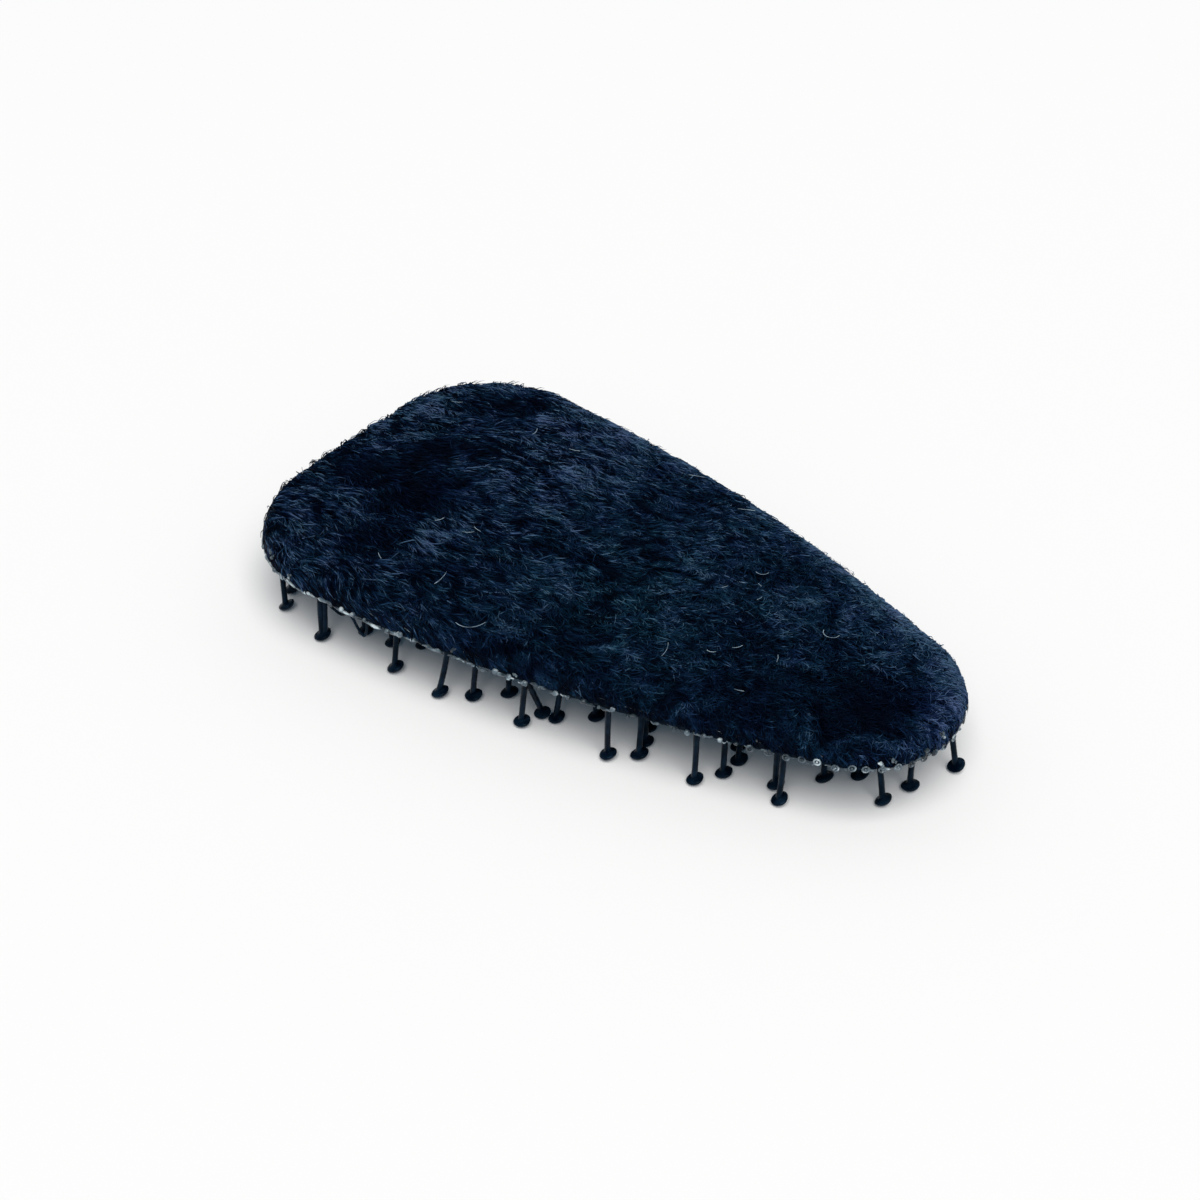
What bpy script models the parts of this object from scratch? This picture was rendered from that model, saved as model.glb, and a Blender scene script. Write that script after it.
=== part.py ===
"""No-crease hair clip: a plush patch bonded to mushroom-hook tape, standing on its hooks.

Metres, +Z up. +X runs along the patch to its narrow end. The origin is under the middle of
the patch, on the surface that the hooks stand on.
"""

import math

import bmesh
import bpy
from mathutils import Matrix, Vector

# The patch seen from above: on each side of the long axis, four arcs that touch in one line
LENGTH = 0.055
WIDTH = 0.0302
WIDE_END_RADIUS = 0.120
CORNER_RADIUS = 0.0093
SIDE_RADIUS = 0.130
NARROW_END_RADIUS = 0.0074
# Straight pieces in each of those arcs, from the wide end to the narrow one
ARC_STEPS = (4, 8, 6, 9)

# Layers, from the floor up
HOOK_HEIGHT = 0.0052
TAPE_THICKNESS = 0.00065
FILM_THICKNESS = 0.00015
COVER_THICKNESS = 0.0014
LAYER_GAP = 0.00003

# How far the edge of each layer lies inside the pile's edge
TAPE_INSET = 0.00015
FILM_INSET = 0.00010

# The pile's rounded side and crown: shares of COVER_ROLL in from the edge, and of COVER_THICKNESS up
COVER_ROLL = 0.0055
COVER_PROFILE_SHARES = (
    (0.070, 0.00),
    (0.012, 0.16),
    (0.000, 0.36),
    (0.050, 0.60),
    (0.180, 0.79),
    (0.440, 0.92),
    (1.000, 1.00),
)

# Hook filaments: each runs along the tape, which lies at this angle to the patch
WARP_ANGLE = math.radians(19.0)
FILAMENT_COUNT = 24
FRONT_ROW_EDGE = 0.00100  # from the furthest point of the patch's front to the first filament
BACK_ROW_EDGE = 0.00080  # and from that of its back to the last one
FILAMENT_DIAMETER = 0.00045
FILAMENT_GAP = 0.00004
RUN_SWELL_SHARE = 1.10  # of FILAMENT_DIAMETER, for the run that is pressed into the tape
RUN_END_INSET = 0.00015  # from the tape's edge
FILAMENT_SIDES = 8

# The mushroom head that each hook stands on
HEAD_DIAMETER = 0.0013
HEAD_DEPTH = 0.00042
HEAD_RIM_SHARE = 0.80  # of HEAD_DEPTH: the height of the widest edge
HEAD_DOME_SHARES = (0.76, 0.26)  # of the head's radius, and of HEAD_DEPTH
FOOT_DIAMETER = 0.00050

# Hooks along the filaments near the front edge: shares of the stretch that can hold hooks
HOOK_EDGE = 0.00025  # from the tape's edge to a hook's middle, at the least
FRONT_HOOK_SHARES = (
    (0.000, 0.339, 0.665),
    (0.108, 0.397, 0.593, 0.713),
    (0.091, 0.152, 0.318, 0.491, 0.664, 0.819, 0.931),
    (0.107, 0.303, 0.454, 0.539, 0.686, 0.878, 0.957),
    (0.044, 0.539, 0.667, 0.798),
    (0.132, 0.180, 0.224, 0.350, 0.477, 0.603, 0.730, 0.854, 1.000),
    (0.020, 0.280, 0.407, 0.534, 0.661, 0.785, 0.912),
    (0.025, 0.137, 0.261, 0.384, 0.507, 0.631, 0.754, 0.877, 0.971),
)
# Hooks on each filament behind those, and how far each filament's are shifted from the last
BACK_HOOK_COUNTS = (8, 8, 8, 7, 7, 6, 6, 6, 5, 5, 4, 4, 3, 3, 2, 1)
ROW_STAGGER_SHARE = 0.37  # of the space between two hooks

CUT_OVERRUN = 0.001
SMOOTH_ANGLE = math.radians(40.0)

COLOURS = {
    "plush": ((0.006, 0.008, 0.020), 0.95),
    "film": ((0.60, 0.64, 0.68), 0.30),
    "tape": ((0.030, 0.033, 0.042), 0.85),
    "hook": ((0.010, 0.011, 0.014), 0.28),
}

TAPE_BOTTOM = HOOK_HEIGHT
FILM_BOTTOM = TAPE_BOTTOM + TAPE_THICKNESS + LAYER_GAP
COVER_BOTTOM = FILM_BOTTOM + FILM_THICKNESS + LAYER_GAP
RUN_RADIUS = RUN_SWELL_SHARE * FILAMENT_DIAMETER / 2
RUN_HEIGHT = TAPE_BOTTOM + RUN_RADIUS


def clear_scene():
    for obj in list(bpy.data.objects):
        bpy.data.objects.remove(obj)


def make_collection(name, shown):
    collection = bpy.data.collections.new(name)
    collection.hide_render = not shown
    bpy.context.scene.collection.children.link(collection)
    return collection


def make_material(name):
    colour, roughness = COLOURS[name]
    material = bpy.data.materials.new(name)
    material.use_nodes = True
    shader = material.node_tree.nodes["Principled BSDF"]
    shader.inputs["Base Color"].default_value = (*colour, 1.0)
    shader.inputs["Roughness"].default_value = roughness
    shader.inputs["Metallic"].default_value = 0.0
    return material


def lower_meeting(centre_a, reach_a, centre_b, reach_b):
    """The lower of the two points that lie these distances from two centres."""
    line = centre_b - centre_a
    along = (reach_a**2 - reach_b**2 + line.length**2) / (2 * line.length)
    across = math.sqrt(reach_a**2 - along**2)
    way = line.normalized()
    side = Vector((way.y, -way.x))
    middle = centre_a + along * way
    return min(middle + across * side, middle - across * side, key=lambda point: point.y)


def side_arcs():
    """(centre, radius, first angle, last angle) of the arcs of the +Y side, wide end first."""
    wide = Vector((WIDE_END_RADIUS - LENGTH / 2, 0.0))
    narrow = Vector((LENGTH / 2 - NARROW_END_RADIUS, 0.0))
    corner_y = WIDTH / 2 - CORNER_RADIUS
    corner_x = wide.x - math.sqrt((WIDE_END_RADIUS - CORNER_RADIUS) ** 2 - corner_y**2)
    corner = Vector((corner_x, corner_y))
    side = lower_meeting(corner, SIDE_RADIUS - CORNER_RADIUS, narrow, SIDE_RADIUS - NARROW_END_RADIUS)
    joins = [corner - wide, corner - side, narrow - side]
    turns = [math.pi, *(math.atan2(join.y, join.x) for join in joins), 0.0]
    centres = (wide, corner, side, narrow)
    radii = (WIDE_END_RADIUS, CORNER_RADIUS, SIDE_RADIUS, NARROW_END_RADIUS)
    return list(zip(centres, radii, turns[:-1], turns[1:], strict=True))


def outline(inset):
    """Points round the patch, anticlockwise from above, drawn in by inset on every side."""
    upper = []
    for (centre, radius, first, last), steps in zip(side_arcs(), ARC_STEPS, strict=True):
        for step in range(steps):
            turn = first + (last - first) * step / steps
            away = Vector((math.cos(turn), math.sin(turn)))
            upper.append(centre + (radius - inset) * away)
    upper.append(Vector((LENGTH / 2 - inset, 0.0)))
    lower = [Vector((point.x, -point.y)) for point in upper[1:-1]]
    return [upper[0], *lower, *reversed(upper[1:])]


def chord(across, inset):
    """Where a line along the filaments, this far across them, meets the outline."""
    turned = [Matrix.Rotation(-WARP_ANGLE, 2) @ point for point in outline(inset)]
    met = []
    for start, end in zip(turned, turned[1:] + turned[:1], strict=True):
        if (start.y - across) * (end.y - across) < 0:
            share = (across - start.y) / (end.y - start.y)
            met.append(start.x + share * (end.x - start.x))
    return min(met), max(met)


def add_object(name, mesh, material, collection):
    if material:
        mesh.materials.append(material)
    obj = bpy.data.objects.new(name, mesh)
    collection.objects.link(obj)
    return obj


def mesh_of(bm, name):
    bmesh.ops.recalc_face_normals(bm, faces=bm.faces)
    mesh = bpy.data.meshes.new(name)
    bm.to_mesh(mesh)
    bm.free()
    mesh.shade_smooth()
    mesh.set_sharp_from_angle(angle=SMOOTH_ANGLE)
    return mesh


def hide_helper(obj):
    obj.hide_render = True
    obj.display_type = "WIRE"


def plate(name, inset, bottom, thickness, material, collection):
    """A flat layer: a filled outline, extruded."""
    curve = bpy.data.curves.new(name, "CURVE")
    curve.dimensions = "2D"
    curve.fill_mode = "BOTH"
    curve.extrude = thickness / 2
    points = outline(inset)
    spline = curve.splines.new("POLY")
    spline.points.add(len(points) - 1)
    for place, point in zip(spline.points, points, strict=True):
        place.co = (point.x, point.y, 0.0, 1.0)
    spline.use_cyclic_u = True
    drawn = bpy.data.objects.new(name + "_outline", curve)
    collection.objects.link(drawn)
    graph = bpy.context.evaluated_depsgraph_get()
    mesh = bpy.data.meshes.new_from_object(drawn.evaluated_get(graph))
    bpy.data.objects.remove(drawn)
    bm = bmesh.new()
    bm.from_mesh(mesh)
    bmesh.ops.remove_doubles(bm, verts=bm.verts, dist=LAYER_GAP / 100)
    obj = add_object(name, mesh_of(bm, name), material, collection)
    obj.location.z = bottom + thickness / 2
    return obj


def plush_cover(material, collection):
    """The pile's crowned body: outlines drawn in as they rise, lofted and closed."""
    bm = bmesh.new()
    rings = []
    for in_share, up_share in COVER_PROFILE_SHARES:
        points = outline(in_share * COVER_ROLL)
        rings.append([bm.verts.new((*point, up_share * COVER_THICKNESS)) for point in points])
    for low, high in zip(rings, rings[1:]):
        for i in range(len(low)):
            bm.faces.new((low[i - 1], low[i], high[i], high[i - 1]))
    bm.faces.new(reversed(rings[0]))
    bm.faces.new(rings[-1])
    obj = add_object("plush_cover", mesh_of(bm, "plush_cover"), material, collection)
    obj.location.z = COVER_BOTTOM
    return obj


def hook_mesh(helpers):
    """One hook, turned: a stem down from the middle of the filament's run to a mushroom head."""
    stem = FILAMENT_DIAMETER / 2
    head = HEAD_DIAMETER / 2
    dome_out, dome_up = HEAD_DOME_SHARES
    profile = (
        (0.0, RUN_HEIGHT),
        (stem, RUN_HEIGHT),
        (stem, HEAD_DEPTH),
        (head, HEAD_RIM_SHARE * HEAD_DEPTH),
        (dome_out * head, dome_up * HEAD_DEPTH),
        (FOOT_DIAMETER / 2, 0.0),
        (0.0, 0.0),
    )
    bm = bmesh.new()
    verts = [bm.verts.new((out, 0.0, up)) for out, up in profile]
    for upper, lower in zip(verts, verts[1:]):
        bm.edges.new((upper, lower))
    mesh = bpy.data.meshes.new("hook_profile")
    bm.to_mesh(mesh)
    bm.free()
    turned = add_object("hook_profile", mesh, None, helpers)
    screw = turned.modifiers.new("turn", "SCREW")
    screw.steps = FILAMENT_SIDES
    screw.render_steps = FILAMENT_SIDES
    screw.use_merge_vertices = True
    screw.merge_threshold = stem / 1000
    hide_helper(turned)
    graph = bpy.context.evaluated_depsgraph_get()
    return bpy.data.meshes.new_from_object(turned.evaluated_get(graph))


def run_mesh(start, end):
    """The filament's run along the tape, from one end to the other."""
    bm = bmesh.new()
    half_side = math.pi / FILAMENT_SIDES
    place = (
        Matrix.Translation(((start + end) / 2, 0.0, RUN_HEIGHT))
        @ Matrix.Rotation(math.pi / 2, 4, "Y")
        @ Matrix.Rotation(half_side, 4, "Z")
    )
    bmesh.ops.create_cone(
        bm,
        cap_ends=True,
        segments=FILAMENT_SIDES,
        radius1=RUN_RADIUS,
        radius2=RUN_RADIUS,
        depth=end - start,
        matrix=place,
    )
    return mesh_of(bm, "filament_run")


def row_pitch_and_start():
    """The space between two filaments, and how far across the patch the first one lies."""
    turned = [Matrix.Rotation(-WARP_ANGLE, 2) @ point for point in outline(0.0)]
    first = min(point.y for point in turned) + FRONT_ROW_EDGE
    last = max(point.y for point in turned) - BACK_ROW_EDGE
    return (last - first) / (FILAMENT_COUNT - 1), first


def row_hook_shares(row):
    """Each hook's place along a filament, as shares of the stretch that can hold hooks."""
    if row < len(FRONT_HOOK_SHARES):
        return FRONT_HOOK_SHARES[row]
    count = BACK_HOOK_COUNTS[row - len(FRONT_HOOK_SHARES)]
    shift = row * ROW_STAGGER_SHARE % 1.0
    return [(step + shift) / count for step in range(count)]


def filament_rows():
    """(across, its hooks' places) of each filament, front row first."""
    pitch, first = row_pitch_and_start()
    rows = []
    for row in range(FILAMENT_COUNT):
        across = first + row * pitch
        low, high = chord(across, TAPE_INSET + HOOK_EDGE)
        rows.append((across, [low + share * (high - low) for share in row_hook_shares(row)]))
    return rows


def hook_filament(number, across, places, hook, material, parts, helpers):
    """One filament: its run in the tape, joined with the hooks that stand under it."""
    start, end = chord(across, TAPE_INSET + RUN_END_INSET)
    name = f"hook_filament_{number:02d}"
    mesh = run_mesh(start, end)
    filament = add_object(name, mesh, material, parts)
    filament.location.y = across
    bm = bmesh.new()
    for place in places:
        before = len(bm.verts)
        bm.from_mesh(hook)
        bm.verts.ensure_lookup_table()
        bmesh.ops.translate(bm, verts=bm.verts[before:], vec=(place, 0.0, 0.0))
    hooks = add_object(f"hooks_{number:02d}", mesh_of(bm, "hooks"), None, helpers)
    hooks.location.y = across
    hide_helper(hooks)
    join = filament.modifiers.new("hooks", "BOOLEAN")
    join.operation = "UNION"
    join.solver = "EXACT"
    join.object = hooks
    return filament, hooks


def groove_cutter(rows, helpers):
    """Slots along the tape's underside, one for the run of each filament."""
    depth = 2 * RUN_RADIUS + FILAMENT_GAP
    width = 2 * (RUN_RADIUS + FILAMENT_GAP)
    bm = bmesh.new()
    for across, _ in rows:
        start, end = chord(across, TAPE_INSET)
        size = (end - start + 2 * CUT_OVERRUN, width, depth + CUT_OVERRUN)
        middle = ((start + end) / 2, across, TAPE_BOTTOM + (depth - CUT_OVERRUN) / 2)
        place = Matrix.Translation(middle) @ Matrix.Diagonal((*size, 1.0))
        bmesh.ops.create_cube(bm, size=1.0, matrix=place)
    cutter = add_object("groove_cutter", mesh_of(bm, "groove_cutter"), None, helpers)
    hide_helper(cutter)
    return cutter


def main():
    clear_scene()
    parts = make_collection("no_crease_hair_clip", True)
    helpers = make_collection("cutters", False)
    plush_cover(make_material("plush"), parts)
    plate("bonding_film", FILM_INSET, FILM_BOTTOM, FILM_THICKNESS, make_material("film"), parts)
    tape_colour = make_material("tape")
    tape = plate("hook_tape_ground", TAPE_INSET, TAPE_BOTTOM, TAPE_THICKNESS, tape_colour, parts)

    warp = bpy.data.objects.new("warp_direction", None)
    warp.rotation_euler.z = WARP_ANGLE
    parts.objects.link(warp)
    rows = filament_rows()
    hook = hook_mesh(helpers)
    hook_colour = make_material("hook")
    for number, (across, places) in enumerate(rows, start=1):
        for piece in hook_filament(number, across, places, hook, hook_colour, parts, helpers):
            piece.parent = warp
    cutter = groove_cutter(rows, helpers)
    cutter.parent = warp
    cut = tape.modifiers.new("grooves", "BOOLEAN")
    cut.operation = "DIFFERENCE"
    cut.solver = "EXACT"
    cut.object = cutter
    print(len(rows), "filaments,", sum(len(places) for _, places in rows), "hooks")


main()
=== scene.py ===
"""Looks of the no-crease hair clip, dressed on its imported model. Metres, +Z up.

+X runs along the patch to its narrow end, and the hooks stand on z = 0.
"""

import math

import bpy
import numpy as np
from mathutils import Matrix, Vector


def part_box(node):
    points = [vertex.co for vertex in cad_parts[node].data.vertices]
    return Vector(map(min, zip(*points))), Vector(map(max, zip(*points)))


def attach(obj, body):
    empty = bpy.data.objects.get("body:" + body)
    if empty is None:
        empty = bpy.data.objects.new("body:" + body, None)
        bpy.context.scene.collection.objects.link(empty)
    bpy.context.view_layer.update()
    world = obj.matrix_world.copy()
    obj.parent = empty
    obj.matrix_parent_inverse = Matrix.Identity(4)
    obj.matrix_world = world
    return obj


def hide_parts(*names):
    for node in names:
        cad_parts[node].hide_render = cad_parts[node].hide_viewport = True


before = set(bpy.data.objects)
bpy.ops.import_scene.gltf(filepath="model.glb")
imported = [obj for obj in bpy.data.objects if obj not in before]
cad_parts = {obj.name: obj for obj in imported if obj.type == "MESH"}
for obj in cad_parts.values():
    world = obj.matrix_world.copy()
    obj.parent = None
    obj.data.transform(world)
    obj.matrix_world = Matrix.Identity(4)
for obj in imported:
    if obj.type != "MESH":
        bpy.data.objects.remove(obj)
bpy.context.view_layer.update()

MM = 0.001
UP = np.array((0.0, 0.0, 1.0))

# The photograph's camera
VIEW_AZIMUTH = math.radians(38.17)
VIEW_ELEVATION = math.radians(38.5)
VIEW_DISTANCE = 162.3 * MM
VIEW_ANGLE = math.radians(30.0)
VIEW_TARGET = (-0.44 * MM, -2.37 * MM, 5.2 * MM)

# Light, and the pale floor: its colour for the light on the object, and as the camera sees it
WORLD_STRENGTH = 0.30
WORLD_COLOUR = (0.95, 1.0, 1.03)
LAMP_STRENGTH = 0.875
LAMP_COLOUR = (1.0, 0.98, 0.965)
LAMP_DISTANCE = 9.00
LAMP_SIZE = 7.20
LAMP_AZIMUTH = math.radians(45.0)
LAMP_ELEVATION = math.radians(63.5)
FLOOR_SIZE = 4.0
FLOOR_DROP = 0.02 * MM
FLOOR_COLOUR = (0.66, 0.80, 0.90)
FLOOR_SEEN_COLOUR = (0.972, 0.960, 0.947)
# A faint bluish glow on the floor, for the camera only, which tints its shadow
FLOOR_GLOW = 0.027
FLOOR_GLOW_COLOUR = (0.06, 0.53, 1.0)

# The plush: a backing under the pile's surface, and the pile that lies over it. One strand in
# SIDE_SHARE stands on its side
BACKING_INSET = 0.16 * MM
BACKING_DROP = 0.30 * MM
STRAND_COUNT = 84000
STRAND_BATCHES = 7
STRAND_LENGTH = 1.62 * MM
STRAND_RADIUS = 0.039 * MM
STRAND_STEPS = 3
STRAND_TAPER = (1.0, 1.0, 0.72)
RIM_SLOPE = math.radians(80.0)
RIM_SPREAD = 2.2
SIDE_SHARE = 8
SIDE_ROOT_DROP = 0.30 * MM
SIDE_LENGTH = 0.7
LOCK_LENGTH = 2.5 * MM
LOCK_WIDTH = 0.48 * MM

# A finer set of locks over the first one, as shares of its size, and how the locks wander
FINE_LOCKS = (0.5, 0.4)
SWIRL = 0.6 * MM
SWIRL_LENGTH = 5 * MM
SWIRL_SEEDS = (14, 15)

# How much a strand turns with its lock and with its fine lock, and the few that stray
LOCK_TURNS = (1.35, 0.95)
STRAY_SHARE = 0.03
STRAY_TURN = 0.8

# How deep inside the edge the strands start to turn down over it
RIM_TURN_DEPTH = 1.6 * MM

# Painted shade and light along a strand: how much darker or lighter it is at its root, its two
# middle points and its tip
STRAND_SHADE = (-0.34, -0.12, 0.05, 0.14)
STRAND_GRAIN = 0.09

# How light a strand is: in the middle, and how far it varies with its lock, with its fine lock, by
# itself, and, as painted shade on a lock's sides, from a lock's side to its ridge. A few are
# brighter
TINT_MIDDLE = 0.46
TINT_SPREADS = (0.11, 0.12, 0.11, 0.18)
BRIGHT_SHARE = 0.05
BRIGHT_TINT = 0.18

# Painted shade in the slits between locks: how dark it is, and how wide, as a share of a lock
SLIT_SHADE = 0.64
SLIT_WIDTH = 0.22

# Along the patch, the pile goes from combed, with clear locks, to matted: (x, x), (there, there)
COMBED = (-12 * MM, 12 * MM)
CONTRAST = ((-16 * MM, -6 * MM, 12 * MM), (1.75, 1.08, 0.92))
CURL = (0.15, 0.60)
MESS = (0.15, 0.28)
SHORTER = (1.0, 0.74)

# How much painted sheen lightens the pile along its rim, towards +X and +Y, and how much painted
# shade darkens it towards -Y, how deep this goes on the long sides and at the narrow end, over what
# depth it fades out at that end's edge, and how much painted shade darkens the pile on the patch's
# side
RIM_SHEEN_AND_SHADE = (0.42, 0.46, -0.14)
RIM_DEPTH = (1.6 * MM, 2.5 * MM)
RIM_FADE = 0.5 * MM
SIDE_SHADE = -0.16

# Which way the pile lies, from +X towards +Y, how it waves: (length, seed, by how much), and places
# where it turns: (x, y, radius in mm, by how much)
FLOW_ANGLE = math.radians(-2.0)
FLOW_WAVES = ((22 * MM, 11, 0.10), (6 * MM, 12, 0.12))
FLOW_SPOTS = (
    (-2.5, 4.5, 5.0, math.radians(30)),
    (-20.5, 2.5, 4.5, math.radians(34)),
    (-16.5, -6.5, 4.0, math.radians(-16)),
    (-13.0, 6.5, 3.5, math.radians(-10)),
    (0.0, -5.0, 5.0, math.radians(-6)),
)

# Painted light and shade where the pile's lay catches light: (x, y, radius in mm, by how much)
LIGHT_AND_SHADE_SPOTS = (
    (-17.8, -3.3, 3.0, -0.48),
    (-24.3, -3.2, 3.2, -0.36),
    (-20.8, 1.8, 3.4, -0.32),
    (-16.7, -9.3, 2.2, -0.34),
    (-20.5, -10.8, 3.0, -0.20),
    (-21.4, 11.0, 3.0, -0.28),
    (-19.0, 7.0, 3.8, -0.20),
    (-25.5, 5.5, 2.4, 0.36),
    (-13.0, 1.0, 2.6, -0.20),
    (-11.2, 9.0, 5.0, 0.19),
    (-1.6, 8.4, 3.2, -0.17),
    (-5.0, 1.0, 2.8, -0.12),
    (-10.0, -9.5, 4.6, -0.14),
    (2.5, -9.5, 4.4, -0.13),
    (16.5, -7.2, 4.8, -0.18),
    (22.0, -2.3, 3.7, -0.44),
    (22.8, -6.5, 2.0, 0.18),
    (19.5, 5.8, 3.4, 0.28),
)

# Places where the pile is more violet, or more teal: (x, y, radius in mm, by how much)
VIOLET_SPOTS = (
    (-18.0, -6.0, 9.0, 0.08),
    (-12.0, 10.0, 7.0, 0.12),
    (2.0, -4.0, 8.0, -0.36),
    (14.0, 0.0, 8.0, -0.08),
    (26.0, 1.0, 3.5, 0.30),
)

# The tape's weave
WEFT_PITCH = 0.50 * MM
WARP_PITCH = 0.475 * MM
WEAVE_HEIGHT = 0.07 * MM
WEAVE_GRID = 0.16 * MM
TAPE_EDGE_INSET = 0.15 * MM

# Glue along the cut edge: which side of the patch it stands out on, and how far it is held in
# elsewhere. Up to GLUE_FULL_END its line is thick: (x, x), (radius in mm there)
GLUE_SIDE = (0.62, -0.78)
GLUE_HELD_IN = 0.12 * MM
GLUE_FULL_END = 3 * MM
GLUE_RADII = ((-18 * MM, -4 * MM), (0.20, 0.15))
GLUE_THIN_RADIUS = 0.095
BEAD_SPACING = 1.05 * MM
RINGS_START = 17 * MM
RING_RADIUS = 0.23 * MM
RING_THICKNESS = 0.065 * MM

# Hooks: a stem's radius in mm at shares of its length from the tape down, how far up the head's
# axis it ends, and how far up this axis the point is that stands over the hook's place
STEM_SIDES = 12
STEM_RADII = ((0, 0.2, 0.85, 1), (0.245, 0.215, 0.215, 0.235))
STEM_END = 0.5 * MM
STEM_ROOT_DEPTH = 0.25 * MM
HEAD_SIDES = 24
HEAD_MIDDLE = 0.30 * MM
RUN_STEP = 1.0 * MM
RUN_RADIUS = 0.24 * MM
RUN_WAVE = 0.03 * MM

THREAD_RADIUS = 0.11 * MM
LINT_RADIUS = 0.016 * MM


def node_points(name):
    """A CAD node's vertices."""
    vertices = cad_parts[name].data.vertices
    points = np.empty(len(vertices) * 3, np.float32)
    vertices.foreach_get("co", points)
    return points.reshape(-1, 3).astype(float)


def smooth_line(points, steps, closed=False):
    """A Catmull-Rom line through the points, with this many steps between two of them."""
    if closed:
        padded = np.vstack([points[-1:], points, points[:2]])
    else:
        ends = (2 * points[0] - points[1], 2 * points[-1] - points[-2])
        padded = np.vstack([ends[0], points, ends[1]])
    line = []
    for a, b, c, d in zip(padded, padded[1:], padded[2:], padded[3:]):
        for t in np.arange(steps) / steps:
            bend = (2 * a - 5 * b + 4 * c - d) * t**2 + (3 * b - a - 3 * c + d) * t**3
            line.append(b + ((c - a) * t + bend) / 2)
    if not closed:
        line.append(points[-1])
    return np.array(line)


def unit(vectors):
    """The vectors, each at length 1."""
    return vectors / np.maximum(np.linalg.norm(vectors, axis=-1, keepdims=True), 1e-12)


def circle(count):
    """Even angles round a circle."""
    return 2 * math.pi * np.arange(count) / count


def cover_shape():
    """The plush's outline from above, and its side's profile as (depth from the edge, height)."""
    points = node_points("plush_cover")
    levels = np.round(points[:, 2], 6)
    reach = {level: points[levels == level, 0].max() for level in np.unique(levels)}
    widest = max(reach, key=reach.get)
    ring = np.unique(np.round(points[levels == widest, :2], 7), axis=0)
    ring = ring[np.argsort(np.arctan2(ring[:, 1], ring[:, 0]))]
    profile = [(reach[widest] - reach[level], level) for level in sorted(reach) if level >= widest]
    return smooth_line(ring, 4, closed=True), smooth_line(np.array(profile), 6)


OUTLINE, PROFILE = cover_shape()
COVER_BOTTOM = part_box("plush_cover")[0].z
TAPE_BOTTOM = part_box("hook_tape_ground")[0].z
TAPE_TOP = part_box("hook_tape_ground")[1].z
OUT_NORMALS = unit(np.roll(OUTLINE, -1, 0) - np.roll(OUTLINE, 1, 0))[:, ::-1] * (1, -1)

# Where the pile ends on the patch's side
PILE_FOOT = COVER_BOTTOM - 0.60 * MM


class EdgeGrid:
    """How deep inside the patch's outline a point lies, and which way is out, from a grid."""

    STEP = 0.25 * MM
    MARGIN = 4 * MM

    def __init__(self):
        self.low = OUTLINE.min(0) - self.MARGIN
        counts = np.ceil((OUTLINE.max(0) + self.MARGIN - self.low) / self.STEP).astype(int) + 1
        xs = self.low[0] + self.STEP * np.arange(counts[0])
        ys = self.low[1] + self.STEP * np.arange(counts[1])
        places = np.stack(np.meshgrid(xs, ys, indexing="ij"), -1)
        ways = np.roll(OUTLINE, -1, 0) - OUTLINE
        depth = np.full(counts, np.inf)
        outward = np.zeros((*counts, 2))
        inside = np.zeros(counts, bool)
        for start, way in zip(OUTLINE, ways):
            away = places - start
            share = np.clip((away @ way) / (way @ way), 0, 1)[..., None]
            gap = away - share * way
            reach = np.linalg.norm(gap, axis=-1)
            side = unit(np.array((way[1], -way[0])))
            nearer = reach < depth
            depth = np.where(nearer, reach, depth)
            outward[nearer] = side
            inside[nearer] = (away @ side <= 0)[nearer]
        self.values = np.dstack([np.where(inside, depth, -depth), outward])

    def __call__(self, xy):
        """(depth, outward) of each point."""
        place = np.clip((xy - self.low) / self.STEP, 0, np.array(self.values.shape[:2]) - 1.001)
        cell = place.astype(int)
        share = place - cell
        total = 0
        for i in (0, 1):
            for j in (0, 1):
                weight = np.abs(1 - i - share[:, 0]) * np.abs(1 - j - share[:, 1])
                total = total + weight[:, None] * self.values[cell[:, 0] + i, cell[:, 1] + j]
        return total[:, 0], unit(total[:, 1:])


EDGE = EdgeGrid()


def surface_height(depth):
    """The pile's surface this deep inside the edge."""
    return np.interp(depth, PROFILE[:, 0], PROFILE[:, 1])


# The top of the backing's side
RIM_TOP = surface_height(0.0) - BACKING_DROP


def surface_slope(depth):
    """The surface's slope towards the edge: 0 on top, and close to a right angle at the rim."""
    steps = np.diff(PROFILE, axis=0)
    middles = (PROFILE[1:, 0] + PROFILE[:-1, 0]) / 2
    angles = np.arctan2(steps[:, 1], steps[:, 0])
    return np.where(depth < middles[0], RIM_SLOPE, np.interp(depth, middles, angles))


def waves(xy, length, seed, count=6):
    """Smooth noise of about unit size, from waves of about this length."""
    rng = np.random.default_rng(seed)
    total = np.zeros(len(xy))
    for _ in range(count):
        turn = rng.uniform(0, 2 * math.pi)
        number = 2 * math.pi / (length * rng.uniform(0.7, 1.5))
        phase = rng.uniform(0, 2 * math.pi)
        total += np.sin(xy @ (number * np.array((math.cos(turn), math.sin(turn)))) + phase)
    return total / math.sqrt(count / 2)


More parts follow.
